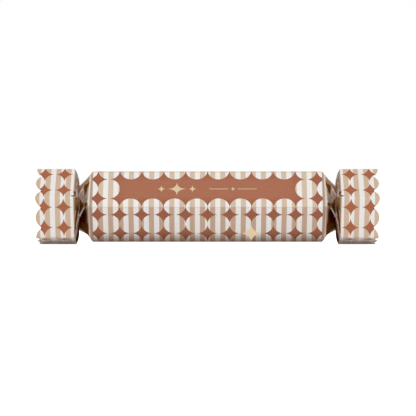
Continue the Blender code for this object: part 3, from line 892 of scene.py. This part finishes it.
# The underside is painted shade, dark towards the bottom, and the curl is a painted shadow.
END_INKS = {
    "white": (linear(237, 234, 231), linear(237, 234, 231)),
    "beige": (linear(209, 182, 156), linear(209, 182, 156)),
    "rust": (linear(168, 100, 68), linear(168, 100, 68)),
    "underside": (-0.0239, -0.0256, (0.33, 0.20, 0.08, 1.0)),
    "dent_shadow": CURL_SHADOW,
}
end_print = printed_card("end_print", END_LAYOUT, END_INKS, dent_shadow=painted_curl_shadow)


def end_rows():
    """The end's card, from the neck to the cut edge.

    The edge lies back from the tips by a circle's radius less the square root of that radius
    squared less the distance from the scallop's middle squared, down to the notch's depth.
    """
    angles = FOLD_NUMBERS * SIDE_ANGLE + SIDE_ANGLE - END_TURN
    angles[SIDES // 2 - 1] -= LOW_CREASE_SLIP
    corners = np.zeros((1, len(angles), PRINT_VALUES))
    corners[0, :, :3] = round_axis(0.0, END_RADIUS, angles)
    corners[0, :, 4] = FOLD_NUMBERS * END_RADIUS
    line = fold_rows(corners, END_FOLD_SETBACK, bend_steps=6, flat_steps=48)[0]
    scallop = line[:, 4] / SCALLOP_WIDTH
    off = np.minimum(np.abs(scallop - np.round(scallop)) * SCALLOP_WIDTH, SCALLOP_RADIUS)
    back = np.minimum(SCALLOP_RADIUS - np.sqrt(SCALLOP_RADIUS**2 - off**2), SCALLOP_DEPTH)
    t = close_ends(np.linspace(0, 1, END_ROWS + 1))[:, None]
    grid = np.repeat(line[None], len(t), axis=0)
    grid[..., 2] = grid[..., 2] * END_STRETCH - END_DROP
    grid[..., 0] = mix(MOUTH_X, TIP_X - back, t)
    grid[..., 3] = grid[..., 0]
    return grid


for side, name, print_slip in ((-1, "left", 0.0), (1, "right", RIGHT_PRINT_SLIP)):
    grid = end_rows()
    grid[..., 3] += print_slip
    grid[..., 0] *= side
    end = card_piece(f"{name}_scalloped_end", grid, (end_print, board_inside, board_edge),
                     flip=side < 0)
    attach(end, f"{name}_end")
    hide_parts(f"{name}_frill")


# SNAP
# Two strips of grey card pass each other in a paper band in the barrel, and run out through the
# waists, so that they part with a crack when the ends are pulled.
snap_board = plain_board("snap_board", linear(176, 168, 152), 0.3)
white_paper = plain_board("white_paper", linear(232, 228, 222), 0.04)


def dress(node, material):
    """Gives a CAD node its material."""
    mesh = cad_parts[node].data
    mesh.materials.clear()
    mesh.materials.append(material)


for node in ("left_snap_strip", "right_snap_strip"):
    dress(node, snap_board)
dress("snap_band", white_paper)


# GIFT TUBE
# A small soft tube of cream: a satin polyethylene body crimped flat at its tail, a white moulded
# head, a gold foil seal over the nozzle and a rust screw cap with fine ribs.
CLOUD_SCALE = 120.0
CLOUD_SHADE = 0.95
GLOSS_SPREAD = 0.05


def moulded(name, colour, roughness, metallic=0.0):
    """A smooth material with a slight unevenness in gloss and colour."""
    material, tree, shader = new_material(name)
    place = wire(tree, "TexCoord").outputs["Object"]
    cloud = wire(tree, "TexNoise", {"Vector": place, "Scale": CLOUD_SCALE, "Detail": 3.0})
    shade = ramp(tree, cloud.outputs["Fac"], *NOISE_SPAN, CLOUD_SHADE, 1.0)
    gloss = ramp(tree, cloud.outputs["Fac"], *NOISE_SPAN, roughness - GLOSS_SPREAD,
                 roughness + GLOSS_SPREAD)
    tree.links.new(times(tree, colour, shade), shader.inputs["Base Color"])
    tree.links.new(gloss, shader.inputs["Roughness"])
    shader.inputs["Metallic"].default_value = metallic
    return material


dress("gift_tube", moulded("tube_plastic", linear(236, 226, 212), 0.32))
dress("gift_tube_head", moulded("head_plastic", linear(236, 234, 230), 0.4))
dress("gift_tube_cap", moulded("cap_plastic", linear(160, 98, 74), 0.35))
dress("gift_tube_seal", moulded("seal_foil", linear(226, 200, 150), 0.25, metallic=1.0))


# CROWN AND MOTTO
# A tissue paper crown rolled up in a narrow paper band, and a rolled slip with the motto.
tissue = plain_board("crown_tissue", linear(178, 96, 66), 0.12)
dress("paper_crown", tissue)
dress("crown_band", white_paper)
dress("motto_slip", white_paper)


# FLOOR, LIGHT AND CAMERA
# A pale floor that the ends stand on, an even white surround, and one soft lamp in front. The
# camera looks at the cracker square from the side, from a little above its axis.
FLOOR_DROP = 0.0006
FLOOR_Z = cad_low.z - FLOOR_DROP
FLOOR_HALF = 3.0
FLOOR_WHITE = (0.85, 0.85, 0.85, 1.0)
FLOOR_GLOW = 0.95
SURROUND_LIGHT = 0.73
KEY_BACK = 1.48
KEY_UP = 0.18
KEY_SIZE = 0.8
KEY_POWER = 9.3
floor_mesh = bpy.data.meshes.new("floor")
floor_mesh.from_pydata(
    [(-FLOOR_HALF, -FLOOR_HALF, FLOOR_Z), (FLOOR_HALF, -FLOOR_HALF, FLOOR_Z),
     (FLOOR_HALF, FLOOR_HALF, FLOOR_Z), (-FLOOR_HALF, FLOOR_HALF, FLOOR_Z)], [], [(0, 1, 2, 3)])
floor = bpy.data.objects.new("floor", floor_mesh)
bpy.context.scene.collection.objects.link(floor)
floor_material, floor_tree, floor_shader = new_material("floor_white")
floor_shader.inputs["Base Color"].default_value = FLOOR_WHITE
floor_shader.inputs["Roughness"].default_value = 1.0
floor_shader.inputs["Specular IOR Level"].default_value = 0.0
rays = wire(floor_tree, "LightPath").outputs
seen = either(floor_tree, rays["Is Camera Ray"], rays["Is Glossy Ray"])
floor_shader.inputs["Emission Color"].default_value = (1.0, 1.0, 1.0, 1.0)
floor_tree.links.new(product(floor_tree, seen, FLOOR_GLOW),
                     floor_shader.inputs["Emission Strength"])
floor_mesh.materials.append(floor_material)

world = bpy.data.worlds.new("surround")
bpy.context.scene.world = world
world.use_nodes = True
sky = world.node_tree
sky.nodes.clear()
rays = wire(sky, "LightPath").outputs
seen = either(sky, rays["Is Camera Ray"], rays["Is Transmission Ray"])
strength = ramp(sky, seen, 0.0, 1.0, SURROUND_LIGHT, 1.0)
light = wire(sky, "Background", {0: (1.0, 1.0, 1.0, 1.0), 1: strength})
sky.links.new(light.outputs[0], wire(sky, "OutputWorld").inputs[0])

key_data = bpy.data.lights.new("key", "AREA")
key_data.shape = "SQUARE"
key_data.size = KEY_SIZE
key_data.energy = KEY_POWER
key = bpy.data.objects.new("key", key_data)
bpy.context.scene.collection.objects.link(key)
key.location = (0.0, -KEY_BACK, KEY_UP)
key.rotation_euler = (math.atan2(KEY_BACK, KEY_UP), 0.0, 0.0)

PHOTO_SIZE = 416
MILLIMETRES_PER_PIXEL = 0.72
CAMERA_DISTANCE = 1.368
CAMERA_ELEVATION = math.radians(1.5)
AIM = (0.0004, -0.0012)
camera_data = bpy.data.cameras.new("camera")
camera_data.sensor_width = 36.0
camera_data.lens = 36.0 * CAMERA_DISTANCE / (PHOTO_SIZE * MILLIMETRES_PER_PIXEL / 1000)
camera = bpy.data.objects.new("camera", camera_data)
bpy.context.scene.collection.objects.link(camera)
camera.location = (
    AIM[0], -CAMERA_DISTANCE * math.cos(CAMERA_ELEVATION),
    AIM[1] + CAMERA_DISTANCE * math.sin(CAMERA_ELEVATION))
camera.rotation_euler = (math.pi / 2 - CAMERA_ELEVATION, 0.0, 0.0)
camera_data.clip_start = 0.05
camera_data.clip_end = 50.0
bpy.context.scene.camera = camera
bpy.context.scene.view_settings.view_transform = "Standard"
